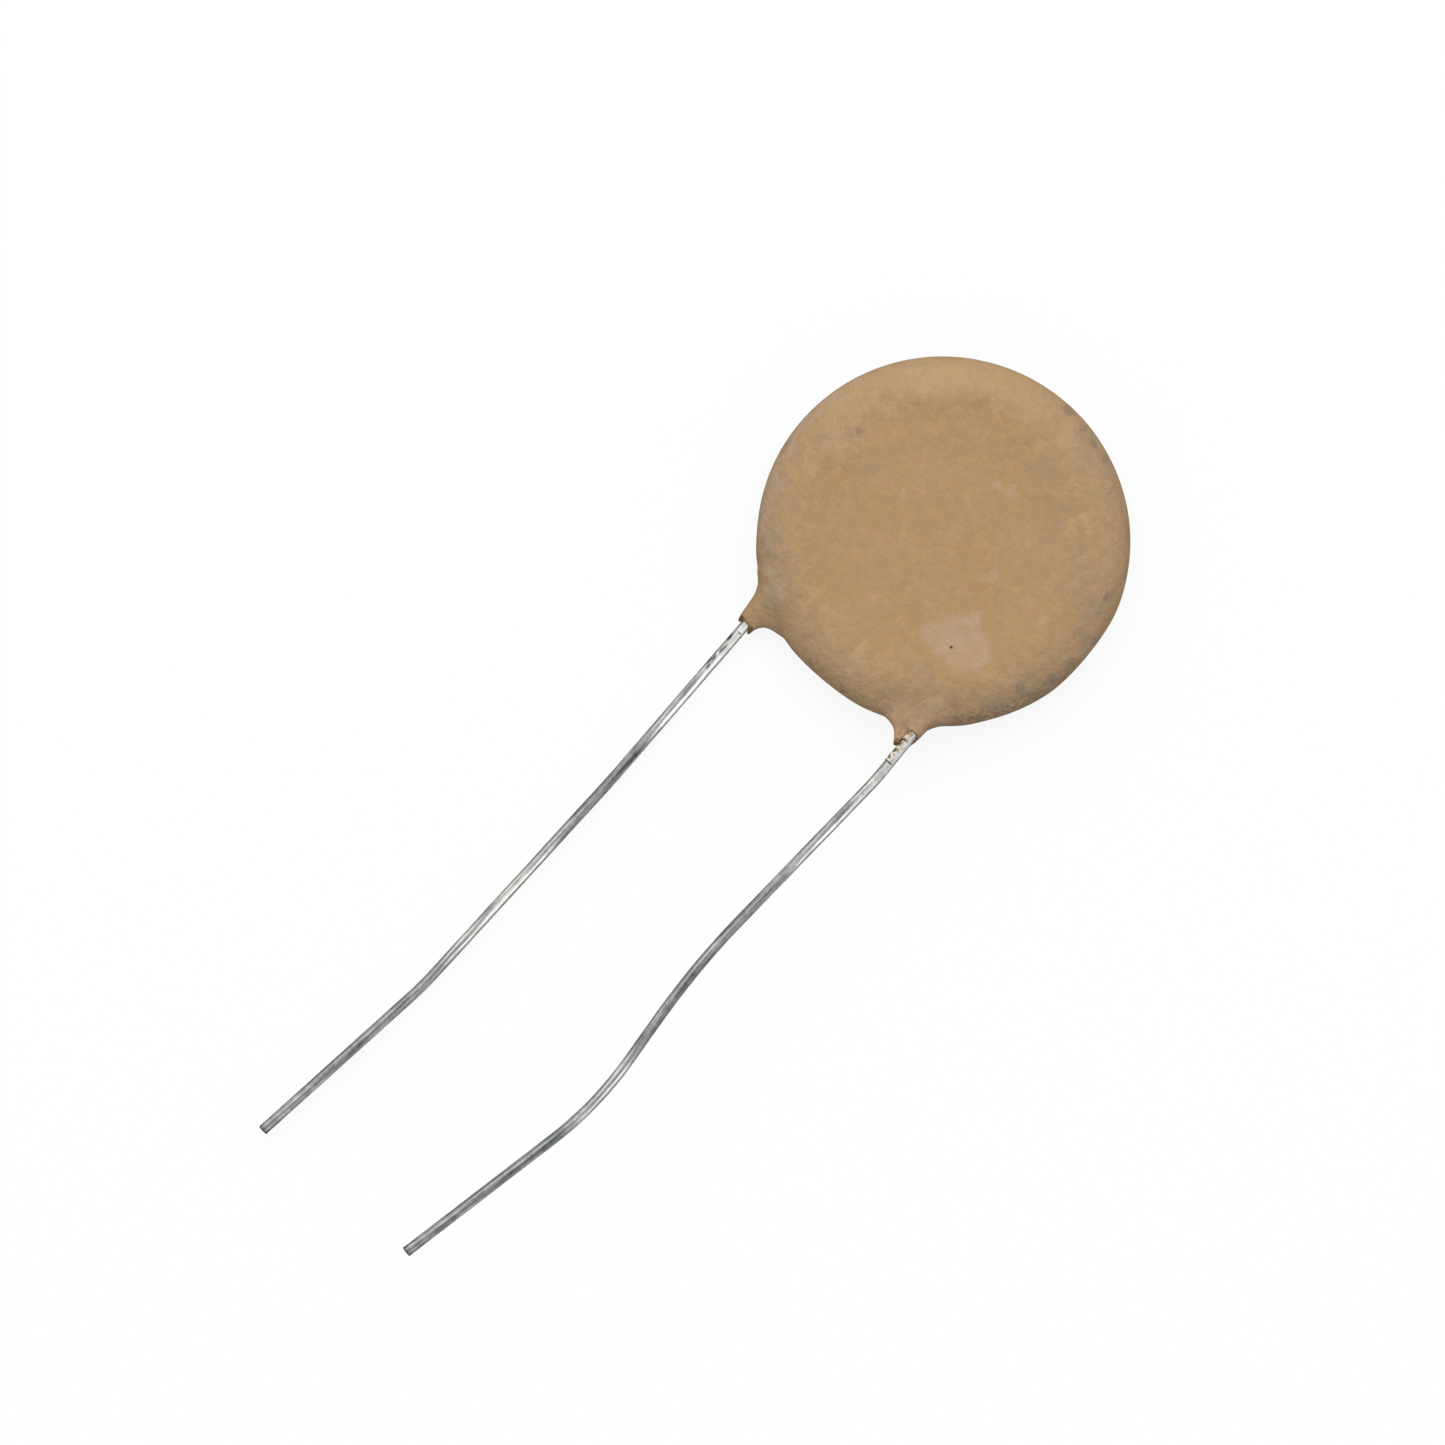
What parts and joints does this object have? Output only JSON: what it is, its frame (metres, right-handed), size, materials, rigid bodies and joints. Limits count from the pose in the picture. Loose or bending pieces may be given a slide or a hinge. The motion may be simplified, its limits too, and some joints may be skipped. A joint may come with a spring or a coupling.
{
  "type": "ceramic disc capacitor",
  "caption": "Round flat ceramic capacitor in a matt tan dipped coating, with long tinned wire leads that run parallel from its edge and are slightly bent from handling.",
  "frame": {"origin": "centre of the disc on the back face of the coating, on which the part lies", "axes": "+Z through the thickness of the disc, away from the face it lies on; -Y from the disc towards the tips of the leads; +X across the leads, from the left one to the right one, seen from above with the leads towards the viewer"},
  "size_m": [0.018, 0.0522, 0.0036],
  "materials": {
    "coating": "matt dipped phenolic resin, tan, lightly scuffed and stained",
    "ceramic": "fired titanate ceramic, ground",
    "silver": "fired silver, matt",
    "solder": "tin-lead solder, satin",
    "tinned_wire": "tin-plated copper wire, drawn, dulled and streaked"
  },
  "bodies": {
    "root": {"coating": "coating", "ceramic_disc": "ceramic", "upper_electrode": "silver", "lower_electrode": "silver", "upper_solder": "solder", "lower_solder": "solder", "left_lead": "tinned_wire", "right_lead": "tinned_wire"}
  },
  "joints": []
}
